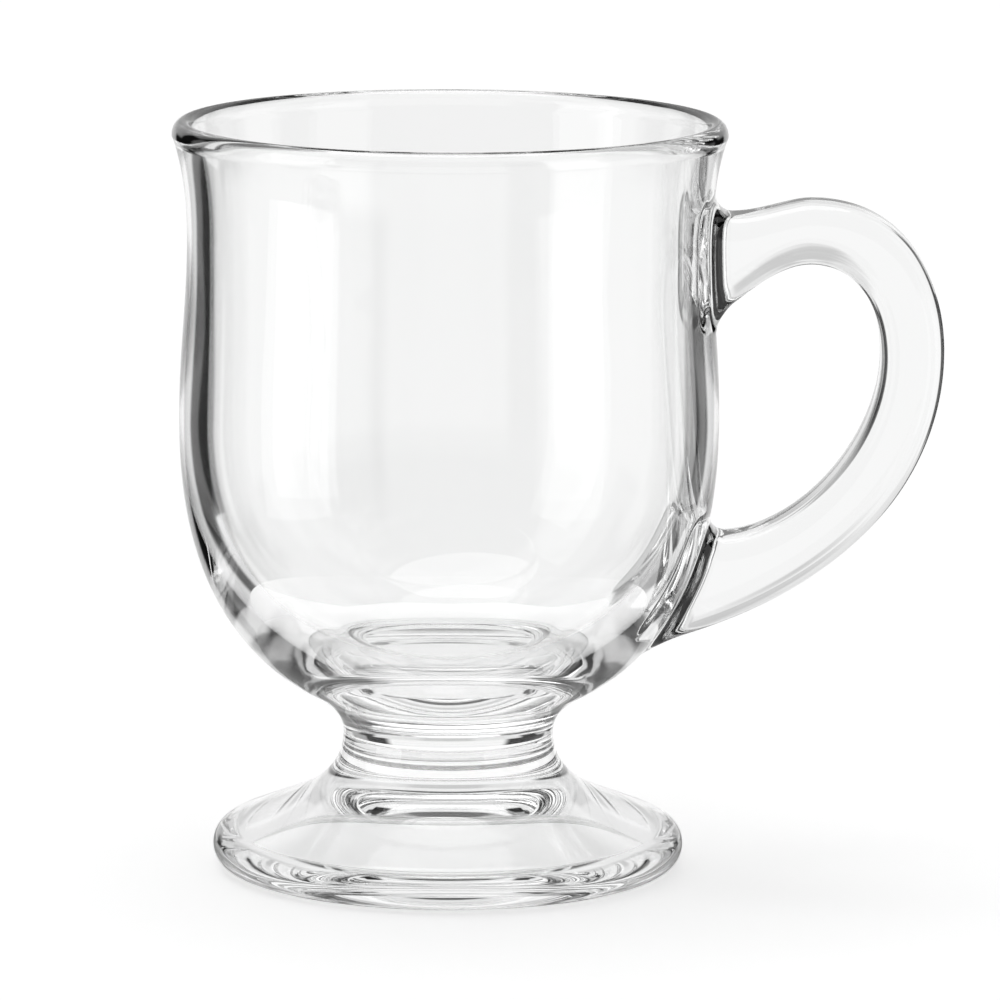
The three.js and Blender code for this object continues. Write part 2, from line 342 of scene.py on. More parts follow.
def smooth_between_joints(mesh):
    """Smooth shading, broken at sharp edges and where a fused face meets the side."""
    mesh.shade_smooth()
    mesh.set_sharp_from_angle(angle=SHARP_ANGLE)
    edge_kinds = {}
    for face in mesh.polygons:
        for key in face.edge_keys:
            edge_kinds.setdefault(key, set()).add(face.material_index)
    for edge in mesh.edges:
        if len(edge_kinds[tuple(sorted(edge.vertices))]) > 1:
            edge.use_edge_sharp = True


def link_piece(name, mesh, node):
    """A finished mesh as a piece of the mug that stands for its CAD node."""
    piece = bpy.data.objects.new(name, mesh)
    scene.collection.objects.link(piece)
    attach(piece, "root")
    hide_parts(node)


def turned_piece(name, tree, values, node):
    """Runs a tree on its own and keeps the result as a plain mesh, smooth but for fused edges."""
    maker = bpy.data.objects.new(name + "_maker", bpy.data.meshes.new(name + "_maker"))
    scene.collection.objects.link(maker)
    modifier = maker.modifiers.new("shape", "NODES")
    modifier.node_group = tree
    for item in tree.interface.items_tree:
        if item.in_out == "INPUT" and item.name in values:
            modifier[item.identifier] = values[item.name]
    shape = maker.evaluated_get(bpy.context.evaluated_depsgraph_get())
    mesh = bpy.data.meshes.new_from_object(shape)
    maker.modifiers.remove(modifier)
    bpy.data.objects.remove(maker)
    mesh.name = name
    face_out(mesh)
    smooth_between_joints(mesh)
    link_piece(name, mesh, node)


def profile_corner(radius, height):
    """A corner of a turned profile, which is drawn in the XZ plane."""
    return (radius, 0.0, height)


def arc_pull(radius, turn):
    """How long the two pulls are of a curve that draws an arc."""
    return 4 / 3 * math.tan(turn / 4) * radius


edge_centre = FOOT_RADIUS - FOOT_EDGE_RADIUS
quarter_pull = arc_pull(FOOT_EDGE_RADIUS, math.pi / 2)
upper_pull = arc_pull(FOOT_EDGE_RADIUS, math.pi / 2 - FOOT_TOP_SLOPE)
top_radius = edge_centre + FOOT_EDGE_RADIUS * math.sin(FOOT_TOP_SLOPE)
top_level = FOOT_EDGE_RADIUS * (1 + math.cos(FOOT_TOP_SLOPE))
top_run = top_radius - FOOT_SEAT_RADIUS
edge_run = top_run * FOOT_EDGE_SOFTNESS
seat_run = top_run * FOOT_SEAT_SOFTNESS
dish_edge_rise = DISH_EDGE / 2 * math.tan(DISH_SLOPE)
dish_start = DISH_RADIUS - DISH_EDGE
dish_run = dish_start * DISH_SOFTNESS
foot_corners = {
    "Dish Middle": profile_corner(0.0, DISH_HEIGHT),
    "Dish Middle Pull": profile_corner(dish_run, DISH_HEIGHT),
    "Dish Pull": profile_corner(
        dish_start - dish_run, dish_edge_rise + dish_run * math.tan(DISH_SLOPE)
    ),
    "Dish": profile_corner(dish_start, dish_edge_rise),
    "Dish Edge Pull": profile_corner(dish_start + DISH_EDGE / 2, 0.0),
    "Dish Edge": profile_corner(DISH_RADIUS, 0.0),
    "Underside Edge": profile_corner(edge_centre, 0.0),
    "Underside Pull": profile_corner(edge_centre + quarter_pull, 0.0),
    "Edge Lower Pull": profile_corner(FOOT_RADIUS, FOOT_EDGE_RADIUS - quarter_pull),
    "Edge": profile_corner(FOOT_RADIUS, FOOT_EDGE_RADIUS),
    "Edge Upper Pull": profile_corner(FOOT_RADIUS, FOOT_EDGE_RADIUS + upper_pull),
    "Top Edge Pull": profile_corner(
        top_radius + upper_pull * math.cos(FOOT_TOP_SLOPE),
        top_level - upper_pull * math.sin(FOOT_TOP_SLOPE),
    ),
    "Top Edge": profile_corner(top_radius, top_level),
    "Top Pull": profile_corner(
        top_radius - edge_run, top_level + edge_run * math.tan(FOOT_TOP_SLOPE)
    ),
    "Seat Pull": profile_corner(
        FOOT_SEAT_RADIUS + seat_run, FOOT_HEIGHT - seat_run * math.tan(FOOT_SEAT_SLOPE)
    ),
    "Seat": profile_corner(FOOT_SEAT_RADIUS, FOOT_HEIGHT),
}
foot_tree = turned_tree(
    "foot_plate",
    foot_corners,
    [
        ("Dish Middle", "Dish Middle Pull", "Dish Pull", "Dish"),
        ("Dish", "Dish Edge Pull", "Dish Edge Pull", "Dish Edge"),
        ("Dish Edge", "Dish Edge", "Underside Edge", "Underside Edge"),
        ("Underside Edge", "Underside Pull", "Edge Lower Pull", "Edge"),
        ("Edge", "Edge Upper Pull", "Top Edge Pull", "Top Edge"),
        ("Top Edge", "Top Pull", "Seat Pull", "Seat"),
    ],
    ["Seat"],
)
foot_glass = clear_glass("foot_glass", FOOT_TINT, FOOT_WAVE_SCALE, FOOT_WAVE_HEIGHT)
foot_values = {"Glass": foot_glass, "Joint": joint_glass, **foot_corners}
turned_piece("mug_foot", foot_tree, foot_values, "foot")


# Stem: the short solid neck between the foot and the bowl, of the same clear glass. It is drawn
# in while soft, and both of its flat ends are fused, so that no line shows through the glass.
stem_low, stem_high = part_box("stem")
STEM_BOTTOM = stem_low[2]
STEM_TOP = stem_high[2]
BOWL_SEAT_RADIUS = stem_high[1]
NECK_RADIUS = 0.0154
NECK_RISE = 0.0082
NECK_SOFTNESS = 0.5
BELLY_RADIUS = 0.03935
BELLY_RISE = 0.0408
BELLY_FULLNESS = 2.4
STEM_TINT = (0.968, 0.974, 0.971, 1.0)
STEM_WAVE_SCALE = 90.0
STEM_WAVE_HEIGHT = 0.00002

seat_share = BOWL_SEAT_RADIUS / BELLY_RADIUS
underside_depth = BELLY_RISE / (1 - seat_share ** BELLY_FULLNESS) ** (1 / BELLY_FULLNESS)
seat_rise = (underside_depth / BELLY_RADIUS) * (
    seat_share * underside_depth / BELLY_RISE
) ** (BELLY_FULLNESS - 1)
neck_level = STEM_BOTTOM + NECK_RISE
lower_in = (FOOT_SEAT_RADIUS - NECK_RADIUS) * NECK_SOFTNESS
upper_in = (BOWL_SEAT_RADIUS - NECK_RADIUS) * NECK_SOFTNESS
stem_corners = {
    "Foot Seat": profile_corner(FOOT_SEAT_RADIUS, STEM_BOTTOM),
    "Foot Pull": profile_corner(
        FOOT_SEAT_RADIUS - lower_in, STEM_BOTTOM + lower_in * math.tan(FOOT_SEAT_SLOPE)
    ),
    "Neck Lower Pull": profile_corner(NECK_RADIUS, neck_level - NECK_RISE * NECK_SOFTNESS),
    "Neck": profile_corner(NECK_RADIUS, neck_level),
    "Neck Upper Pull": profile_corner(
        NECK_RADIUS, neck_level + (STEM_TOP - neck_level) * NECK_SOFTNESS
    ),
    "Bowl Pull": profile_corner(BOWL_SEAT_RADIUS - upper_in, STEM_TOP - upper_in * seat_rise),
    "Bowl Seat": profile_corner(BOWL_SEAT_RADIUS, STEM_TOP),
}
stem_tree = turned_tree(
    "stem_neck",
    stem_corners,
    [
        ("Foot Seat", "Foot Pull", "Neck Lower Pull", "Neck"),
        ("Neck", "Neck Upper Pull", "Bowl Pull", "Bowl Seat"),
    ],
    ["Foot Seat", "Bowl Seat"],
)
stem_glass = clear_glass("stem_glass", STEM_TINT, STEM_WAVE_SCALE, STEM_WAVE_HEIGHT)
stem_values = {"Glass": stem_glass, "Joint": joint_glass, **stem_corners}
turned_piece("mug_stem", stem_tree, stem_values, "stem")


# Bowl: the cup, a heavy-based round shell of clear glass, pressed and then flared and fire
# polished at the rim. The handle's two pads and the stem are fused to its outside.
bowl_low, bowl_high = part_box("bowl")
BOWL_BOTTOM = bowl_low[2]
BOWL_TOP = bowl_high[2]
RIM_RADIUS = bowl_high[1]
BELLY_WALL = 0.0040
FLOOR_THICKNESS = 0.0032
FLOOR_RADIUS = 0.0172
FLOOR_SLOPE = math.radians(18)
WAIST_RADIUS = 0.03815
WAIST_RISE = 0.0668
WAIST_WALL = 0.0033
WAIST_SOFTNESS = 0.37
RIM_SLOPE = math.radians(20)
RIM_SOFTNESS = 0.3
LIP_WIDTH = 0.00335
LIP_HEIGHT = 0.0021
BOWL_TINT = (0.980, 0.984, 0.982, 1.0)
BOWL_WAVE_SCALE = 55.0
BOWL_WAVE_HEIGHT = 0.000015
ROW_SPACING = 0.0008
LIP_STEPS = 48
FINE_STEPS = 600
FLOOR_STEPS = 150

belly_level = BOWL_BOTTOM + BELLY_RISE
waist_level = BOWL_BOTTOM + WAIST_RISE
lip_level = BOWL_TOP - LIP_HEIGHT


def drawn_curve(start, start_pull, end_pull, end, steps=FINE_STEPS):
    """Points along a curve drawn from start to end by two pulls."""
    share = np.linspace(0.0, 1.0, steps + 1)[:, None]
    corners = [np.asarray(corner, dtype=float) for corner in (start, start_pull, end_pull, end)]
    return (
        (1 - share) ** 3 * corners[0]
        + 3 * (1 - share) ** 2 * share * corners[1]
        + 3 * (1 - share) * share ** 2 * corners[2]
        + share ** 3 * corners[3]
    )


def bellied_curve(radius, depth, start, fullness):
    """A superellipse from a depth under the belly up to the belly, as (radius, height)."""
    power = 2 / fullness
    first = math.asin(min(1.0, start / depth) ** (1 / power))
    angle = first * (1 - np.linspace(0.0, 1.0, FINE_STEPS + 1))
    across = radius * np.maximum(0.0, np.cos(angle)) ** power
    return np.column_stack([across, belly_level - depth * np.sin(angle) ** power])


def upper_wall(belly, waist, lip):
    """The wall above the belly: in to the waist, then out to the edge of the lip."""
    rise = (waist_level - belly_level) * WAIST_SOFTNESS
    flare = lip_level - waist_level
    lean = flare * RIM_SOFTNESS
    drawn_in = drawn_curve(
        (belly, belly_level),
        (belly, belly_level + rise),
        (waist, waist_level - rise),
        (waist, waist_level),
    )
    flared = drawn_curve(
        (waist, waist_level),
        (waist, waist_level + flare * WAIST_SOFTNESS),
        (lip - lean * math.sin(RIM_SLOPE), lip_level - lean * math.cos(RIM_SLOPE)),
        (lip, lip_level),
    )
    return np.vstack([drawn_in[1:], flared[1:]])


def run_length(points):
    """The distance along a line of points, from its start to each of them."""
    return np.concatenate([[0.0], np.cumsum(np.linalg.norm(np.diff(points, axis=0), axis=1))])


def evenly(points, spacing):
    """The same line with points at an even spacing."""
    length = run_length(points)
    count = max(2, math.ceil(length[-1] / spacing))
    wanted = np.linspace(0.0, length[-1], count + 1)
    return np.column_stack([np.interp(wanted, length, points[:, axis]) for axis in range(2)])


outside_fine = np.vstack([
    bellied_curve(BELLY_RADIUS, underside_depth, BELLY_RISE, BELLY_FULLNESS),
    upper_wall(BELLY_RADIUS, WAIST_RADIUS, RIM_RADIUS),
])
inside_belly = BELLY_RADIUS - BELLY_WALL
inside_depth = BELLY_RISE - FLOOR_THICKNESS
hollow = bellied_curve(inside_belly, inside_depth, inside_depth, BELLY_FULLNESS)
hollow_sides = hollow[hollow[:, 0] > FLOOR_RADIUS]
floor_ball = FLOOR_RADIUS / math.sin(FLOOR_SLOPE)
floor_across = np.linspace(0.0, FLOOR_RADIUS, FLOOR_STEPS)
floor_edge = np.interp(FLOOR_RADIUS, hollow[:, 0], hollow[:, 1])
floor_drop = np.sqrt(floor_ball ** 2 - floor_across ** 2) - floor_ball * math.cos(FLOOR_SLOPE)
inside_fine = np.vstack([
    np.column_stack([floor_across, floor_edge - floor_drop]),
    hollow_sides,
    upper_wall(inside_belly, WAIST_RADIUS - WAIST_WALL, RIM_RADIUS - LIP_WIDTH),
])[::-1]
lip_turn = np.linspace(0.0, math.pi, LIP_STEPS + 1)[1:-1]
lip_points = np.column_stack([
    RIM_RADIUS - LIP_WIDTH / 2 + LIP_WIDTH / 2 * np.cos(lip_turn),
    lip_level + LIP_HEIGHT * np.sin(lip_turn),
])
outside_rows = evenly(outside_fine, ROW_SPACING)
inside_rows = evenly(inside_fine, ROW_SPACING)
outside_length = run_length(outside_fine)


def wall_radius(height):
    """The outer radius of the bowl at a height."""
    return np.interp(height, outside_fine[:, 1], outside_fine[:, 0])


def profile_normals(points):
    """The outward normal, as (radius, height), at each point of the bowl's whole profile."""
    run = np.gradient(points, axis=0)
    length = np.linalg.norm(run, axis=1)[:, None]
    return np.column_stack([run[:, 1], -run[:, 0]]) / length


# The handle's rails and skin are drawn here, because the outlines of its pads are cut into the
# wall of the bowl.
HANDLE_DEPTH = 0.0120
HANDLE_EDGE = 0.0020
HANDLE_CROWN = 0.0003
CROWN_POWER = 6
PAD_FILLET = 0.0030
EDGE_STEPS = 8
FACE_STEPS = 12
HANDLE_RINGS = 150
FILLET_RINGS = 14
SEAT_PASSES = 4
RAIL_STEPS = 400
RAIL_RUN_IN = 0.004
RUN_IN_STEPS = 100
LEAN_STEP = 0.00005
MM = 0.001
outer_rail_corners = [
    [(38.25, 96.9), (42.8, 95.4), (48.8, 98.5), (52.6, 98.5)],
    [(52.6, 98.5), (65.9, 98.5), (71.8, 87.8), (71.8, 76.6)],
    [(71.8, 76.6), (71.8, 58.5), (58.8, 41.8), (31.6, 34.2)],
]
inner_rail_corners = [
    [(38.35, 81.7), (42.8, 85.1), (47.5, 89.6), (52.3, 89.6)],
    [(52.3, 89.6), (58.7, 89.6), (62.75, 84.0), (62.75, 75.9)],
    [(62.75, 75.9), (62.75, 61.8), (48.8, 47.6), (37.4, 49.6)],
]


def rail_points(corners):
    """One rail of the handle, off the wall, over the crown and back, run on into the wall."""
    parts = [drawn_curve(*[np.array(c) * MM for c in part], steps=RAIL_STEPS) for part in corners]
    line = np.vstack([parts[0], parts[1][1:], parts[2][1:]])
    lead = np.linspace(1.0, 0.0, RUN_IN_STEPS, endpoint=False)[:, None] * RAIL_RUN_IN
    start = (line[0] - line[1]) / np.linalg.norm(line[0] - line[1])
    end = (line[-1] - line[-2]) / np.linalg.norm(line[-1] - line[-2])
    return np.vstack([line[0] + start * lead, line, line[-1] + end * lead[::-1]])


outer_rail = rail_points(outer_rail_corners)
inner_rail = rail_points(inner_rail_corners)
rail_middle = (outer_rail + inner_rail) / 2
rail_half = (outer_rail - inner_rail) / 2


def handle_section():
    """Once round the handle's section: where each point lies between the centres of the rounded
    edges, as shares along the rails and across the bar, and which way it faces."""
    places, facings = [], []
    for quarter in range(4):
        turn = quarter * math.pi / 2
        ahead = np.array((math.cos(turn), math.sin(turn)))
        aside = np.array((-math.sin(turn), math.cos(turn)))
        for share in np.linspace(-1.0, 1.0, FACE_STEPS + 2)[1:-1]:
            places.append(ahead + aside * share)
            facings.append(ahead)
        for bend in np.linspace(0.0, math.pi / 2, EDGE_STEPS + 1):
            places.append(ahead + aside)
            facings.append(ahead * math.cos(bend) + aside * math.sin(bend))
    return np.array(places), np.array(facings)


section_places, section_facings = handle_section()
HANDLE_SIDES = len(section_places)


def wall_gap(points):
    """How far points stand out from the bowl's wall, and the wall's normal there."""
    radius = np.hypot(points[..., 0], points[..., 1])
    height = points[..., 2]
    lean = (wall_radius(height + LEAN_STEP) - wall_radius(height - LEAN_STEP)) / (2 * LEAN_STEP)
    scale = 1 / np.sqrt(1 + lean ** 2)
    normal = np.stack(
        [points[..., 0] / radius * scale, points[..., 1] / radius * scale, -lean * scale], axis=-1
    )
    return (radius - wall_radius(height)) * scale, normal


def handle_grid():
    """The handle's skin as rings of points, from the upper pad's outline to the lower one's."""
    half_length = np.linalg.norm(rail_half, axis=1)
    half_depth = HANDLE_DEPTH / 2 - HANDLE_CROWN
    inplane = rail_half / half_length[:, None]
    lines = np.empty((HANDLE_SIDES, len(rail_middle), 3))
    swell = np.empty_like(lines)
    for side, ((along, across), (ahead, aside)) in enumerate(zip(section_places, section_facings)):
        reach = along * (half_length - HANDLE_EDGE) + ahead * HANDLE_EDGE
        crown = HANDLE_CROWN * (1 - along ** CROWN_POWER) * aside
        lines[side, :, 0] = rail_middle[:, 0] + inplane[:, 0] * reach
        lines[side, :, 1] = across * (half_depth - HANDLE_EDGE) + aside * HANDLE_EDGE + crown
        lines[side, :, 2] = rail_middle[:, 1] + inplane[:, 1] * reach
        swell[side, :, 0] = inplane[:, 0] * ahead
        swell[side, :, 1] = aside
        swell[side, :, 2] = inplane[:, 1] * ahead
    gaps, _ = wall_gap(lines)
    half_way = lines.shape[1] // 2
    share = np.arange(lines.shape[1], dtype=float)
    bend = np.linspace(math.pi / 2, 0.0, FILLET_RINGS, endpoint=False)
    rise = PAD_FILLET * (1 - np.sin(bend))
    flare = PAD_FILLET * (1 - np.cos(bend))
    stands = np.append(rise, PAD_FILLET)
    grid = np.empty((2 * FILLET_RINGS + HANDLE_RINGS, HANDLE_SIDES, 3))

    def at(side, places, source):
        return np.column_stack([
            np.interp(places, share, source[side, :, axis]) for axis in range(3)
        ])

    for side in range(HANDLE_SIDES):
        upper = np.maximum.accumulate(gaps[side, :half_way])
        lower = np.maximum.accumulate(gaps[side, half_way:][::-1])
        upper_places = np.interp(stands, upper, share[:half_way])
        lower_places = np.interp(stands, lower, share[half_way:][::-1])
        middle = np.linspace(upper_places[-1], lower_places[-1], HANDLE_RINGS)
        places = np.concatenate([upper_places[:-1], middle, lower_places[:-1][::-1]])
        spread = np.concatenate([flare, np.zeros(HANDLE_RINGS), flare[::-1]])
        grid[:, side] = at(side, places, lines) + at(side, places, swell) * spread[:, None]
    for ring in range(FILLET_RINGS):
        for row in (ring, len(grid) - 1 - ring):
            for _ in range(SEAT_PASSES):
                gap, normal = wall_gap(grid[row])
                grid[row] += normal * (rise[ring] - gap)[:, None]
    return grid


handle_rings = handle_grid()
PAD_COLUMNS = 18
PAD_ROW_MARGIN = 0.003
PAD_CLEAR = 0.0005
LEVEL_EDGE = 1e-12
CUT_TOLERANCE = 1e-9


def inside_outline(points, outline):
    """Which points lie inside a closed outline, both in the wall's unrolled plane."""
    inside = np.zeros(len(points), dtype=bool)
    for first, second in zip(outline, np.roll(outline, -1, axis=0)):
        crosses = (first[1] > points[:, 1]) != (second[1] > points[:, 1])
        rise = second[1] - first[1] if second[1] != first[1] else LEVEL_EDGE
        where = (second[0] - first[0]) * (points[:, 1] - first[1]) / rise + first[0]
        inside ^= crosses & (points[:, 0] < where)
    return inside


def unrolled(points):
    """Points on the wall as (distance round, distance up), laid out flat."""
    angle = np.arctan2(points[:, 1], points[:, 0])
    up = np.interp(points[:, 2], outside_fine[:, 1], outside_length)
    return np.column_stack([angle * BELLY_RADIUS, up])


pad_outlines = [unrolled(handle_rings[0]), unrolled(handle_rings[-1])]
row_up = np.interp(outside_rows[:, 1], outside_fine[:, 1], outside_length)
pad_bottom = min(outline[:, 1].min() for outline in pad_outlines) - PAD_ROW_MARGIN
pad_top = max(outline[:, 1].max() for outline in pad_outlines) + PAD_ROW_MARGIN
first_row = int(np.searchsorted(row_up, pad_bottom)) - 1
last_row = int(np.searchsorted(row_up, pad_top))
column_step = 2 * math.pi / TURNS * BELLY_RADIUS


def pad_window():
    """The part of the wall round both pads, cut along the outlines of the pads: its flat
    points, its triangles, the pad that each triangle lies in, each point's column and row, its
    number before the cut, and the numbers at which the two outlines start."""
    columns = np.arange(-PAD_COLUMNS, PAD_COLUMNS + 1)
    rows = np.arange(first_row, last_row + 1)
    ring = [(c, first_row) for c in columns[:-1]] + [(columns[-1], r) for r in rows[:-1]]
    ring += [(c, last_row) for c in columns[:0:-1]] + [(columns[0], r) for r in rows[:0:-1]]
    points, keys, edges = [], [], []
    for key in ring:
        points.append((key[0] * column_step, row_up[key[1]]))
        keys.append(key)
    edges += [(i, (i + 1) % len(ring)) for i in range(len(ring))]
    starts = []
    for outline in pad_outlines:
        start = len(points)
        starts.append(start)
        points += [tuple(point) for point in outline]
        keys += [None] * len(outline)
        edges += [(start + i, start + (i + 1) % len(outline)) for i in range(len(outline))]
    lines = np.vstack(pad_outlines)
    for c in columns[1:-1]:
        for r in rows[1:-1]:
            spot = np.array((c * column_step, row_up[r]))
            if np.min(np.linalg.norm(lines - spot, axis=1)) > PAD_CLEAR:
                points.append(tuple(spot))
                keys.append((c, r))
    flat = [Vector(point) for point in points]
    result = delaunay_2d_cdt(flat, edges, [], 0, CUT_TOLERANCE)
    placed = np.array([tuple(v) for v in result[0]])
    faces = [tuple(face) for face in result[2]]
    origin = [first[0] for first in result[3]]
    centres = np.array([placed[list(face)].mean(axis=0) for face in faces])
    owner = np.full(len(faces), -1)
    for index, outline in enumerate(pad_outlines):
        owner[inside_outline(centres, outline)] = index
    return placed, faces, owner, [keys[o] for o in origin], origin, starts


window_points, window_faces, window_owner, window_keys, window_origin, outline_starts = pad_window()


def on_wall(flat):
    """The place on the wall of points given as (distance round, distance up)."""
    angle = flat[:, 0] / BELLY_RADIUS
    radius = np.interp(flat[:, 1], outside_length, outside_fine[:, 0])
    height = np.interp(flat[:, 1], outside_length, outside_fine[:, 1])
    return np.column_stack([radius * np.cos(angle), radius * np.sin(angle), height])


def bowl_mesh():
    """The bowl as one closed shell, from its seat up the outside, over the lip and down inside."""
    profile = np.vstack([outside_rows, lip_points, inside_rows[:-1]])
    fine = np.vstack([outside_fine, lip_points, inside_fine])
    fine_normals = profile_normals(fine)
    fine_run = run_length(fine)
    run = np.concatenate([
        row_up,
        outside_length[-1] + run_length(np.vstack([outside_fine[-1:], lip_points]))[1:],
        fine_run[len(outside_fine) + len(lip_points)] + run_length(inside_rows)[:-1],
    ])
    normals = np.column_stack([
        np.interp(run, fine_run, fine_normals[:, axis]) for axis in range(2)
    ])
    angle = 2 * math.pi * np.arange(TURNS) / TURNS
    cos, sin = np.cos(angle), np.sin(angle)
    places, outward = [], []
    for (radius, height), (out, up) in zip(profile, normals):
        places += [(radius * c, radius * s, height) for c, s in zip(cos, sin)]
        outward += [(out * c, out * s, up) for c, s in zip(cos, sin)]
    faces, kinds = [], []
    windowed = {c % TURNS for c in range(-PAD_COLUMNS, PAD_COLUMNS)}
    for row in range(len(profile) - 1):
        for column in range(TURNS):
            if first_row <= row < last_row and column in windowed:
                continue
            a, b = row * TURNS + column, row * TURNS + (column + 1) % TURNS
            faces.append((a, b, b + TURNS, a + TURNS))
            kinds.append(0)
    number = {}
    spots = on_wall(window_points)
    _, leans = wall_gap(spots)
    for index, key in enumerate(window_keys):
        if key is not None and (
            key[0] in (-PAD_COLUMNS, PAD_COLUMNS) or key[1] in (first_row, last_row)
        ):
            number[index] = key[1] * TURNS + key[0] % TURNS
        else:
            number[index] = len(places)
            places.append(tuple(spots[index]))
            outward.append(tuple(leans[index]))
    for face, owner in zip(window_faces, window_owner):
        faces.append(tuple(number[corner] for corner in face))
        kinds.append(1 if owner >= 0 else 0)
    seat, floor = len(places), len(places) + 1
    places += [(0.0, 0.0, BOWL_BOTTOM), (0.0, 0.0, inside_fine[-1, 1])]
    outward += [(0.0, 0.0, -1.0), (0.0, 0.0, 1.0)]
    last = (len(profile) - 1) * TURNS
    for column in range(TURNS):
        after = (column + 1) % TURNS
        faces.append((seat, after, column))
        kinds.append(1)
        faces.append((floor, last + column, last + after))
        kinds.append(0)
    return closed_mesh("mug_bowl", places, faces, kinds, outward)


def closed_mesh(name, places, faces, kinds, outward):
    """A smooth mesh with its own normals, without the points that no face uses."""
    used = sorted({corner for face in faces for corner in face})
    renumber = {old: new for new, old in enumerate(used)}
    mesh = bpy.data.meshes.new(name)
    mesh.from_pydata(
        [places[old] for old in used], [], [tuple(renumber[c] for c in face) for face in faces]
    )
    mesh.polygons.foreach_set("material_index", kinds)
    mesh.shade_smooth()
    normals = np.array([outward[old] for old in used])
    normals /= np.linalg.norm(normals, axis=1)[:, None]
    mesh.normals_split_custom_set_from_vertices([tuple(normal) for normal in normals])
    mesh.update()
    return mesh


bowl_shape = bowl_mesh()
bowl_glass = clear_glass("bowl_glass", BOWL_TINT, BOWL_WAVE_SCALE, BOWL_WAVE_HEIGHT)
bowl_shape.materials.append(bowl_glass)
bowl_shape.materials.append(joint_glass)
link_piece("mug_bowl", bowl_shape, "bowl")


# Handle: a C-shaped bar of clear pressed glass with nearly flat sides and rounded edges. Both
# ends spread into pads with rounded corners, which are fused to the wall of the bowl.
HANDLE_TINT = (0.975, 0.980, 0.978, 1.0)
HANDLE_WAVE_SCALE = 80.0
HANDLE_WAVE_HEIGHT = 0.000008
PAD_FACING = (-1.0, 0.0, 0.0)


def handle_mesh():
    """The bar between the two pads, closed at each end by the pad's own face on the wall."""
    rings, sides = handle_rings.shape[:2]
    along = np.gradient(handle_rings, axis=0)
    across = (np.roll(handle_rings, -1, axis=1) - np.roll(handle_rings, 1, axis=1)) / 2
    normals = np.cross(across, along)
    centre = handle_rings.mean(axis=1, keepdims=True)
    if np.sum(normals * (handle_rings - centre)) < 0:
        normals = -normals
    normals[0] = wall_gap(handle_rings[0])[1]
    normals[-1] = wall_gap(handle_rings[-1])[1]
    places = [tuple(p) for p in handle_rings.reshape(-1, 3)]
    outward = [tuple(n) for n in normals.reshape(-1, 3)]
    faces, kinds = [], []
    for ring in range(rings - 1):
        for side in range(sides):
            after = (side + 1) % sides
            a, b = ring * sides + side, ring * sides + after
            faces.append((a, a + sides, b + sides, b))
            kinds.append(0)
    spots = on_wall(window_points)
    for pad, base in ((0, 0), (1, (rings - 1) * sides)):
        number = {}
        start = outline_starts[pad]
        for face, owner in zip(window_faces, window_owner):
            if owner != pad:
                continue
            for corner in face:
                origin = window_origin[corner]
                if start <= origin < start + sides:
                    number[corner] = base + origin - start
                elif corner not in number:
                    number[corner] = len(places)
                    places.append(tuple(spots[corner]))
                    outward.append(PAD_FACING)
            faces.append(tuple(number[corner] for corner in reversed(face)))
            kinds.append(1)
    return closed_mesh("mug_handle", places, faces, kinds, outward)


handle_shape = handle_mesh()
handle_glass = clear_glass("handle_glass", HANDLE_TINT, HANDLE_WAVE_SCALE, HANDLE_WAVE_HEIGHT)
handle_shape.materials.append(handle_glass)
handle_shape.materials.append(joint_glass)
link_piece("mug_handle", handle_shape, "handle")


# Floor and light: a pale matt floor, a soft box on either side of the camera, a soft light from
# above, and light panels and dark cards at six heights all round. Only the glass mirrors and
# bends these panels and cards, which give it its white strips and dark edges.
FLOOR_DROP = 0.0002
NEAR_FLOOR = 0.07
FAR_FLOOR = 8.0
FLOOR_COLOUR = (0.82, 0.82, 0.82, 1.0)
OPEN_GLOW = 0.58
GLASS_GLOW = 0.66
WHITE = (1.0, 1.0, 1.0, 1.0)
BLACK = (0.0, 0.0, 0.0, 1.0)

BOX_DISTANCE = 1.0
BOX_HEIGHT = 0.25
BOX_TALL = 1.1
LEFT_BOX_BEARING = -68.0
LEFT_BOX_WIDTH = 0.6
LEFT_BOX_POWER = 1.7
RIGHT_BOX_BEARING = 54.0
RIGHT_BOX_WIDTH = 0.52
RIGHT_BOX_POWER = 0.9
HIGH_LIGHT_POWER = 0.95
HIGH_LIGHT_SPREAD = math.radians(50)
HIGH_LIGHT_AIM = Vector((0.10, -0.12, -1.0))


def pale_floor(name):
    """A matt pale floor that shows white to the eye and still takes the mug's shadow."""
    material = bpy.data.materials.new(name)
    material.use_nodes = True
    tree = material.node_tree
    shader = tree.nodes["Principled BSDF"]
    shader.inputs["Roughness"].default_value = 1.0
    shader.inputs["Specular IOR Level"].default_value = 0.0
    shader.inputs["Base Color"].default_value = FLOOR_COLOUR
    path = add_node(tree, "ShaderNodeLightPath")
    open_glow = add_node(
        tree, "ShaderNodeMath",
        {0: path.outputs["Is Camera Ray"], 1: OPEN_GLOW}, operation="MULTIPLY",
    )
    glow = add_node(
        tree, "ShaderNodeMath",
        {0: path.outputs["Is Transmission Ray"], 1: GLASS_GLOW, 2: open_glow.outputs[0]},
        operation="MULTIPLY_ADD",
    )
    shader.inputs["Emission Color"].default_value = WHITE
    tree.links.new(glow.outputs[0], shader.inputs["Emission Strength"])
    material.cycles.emission_sampling = "NONE"
    return material


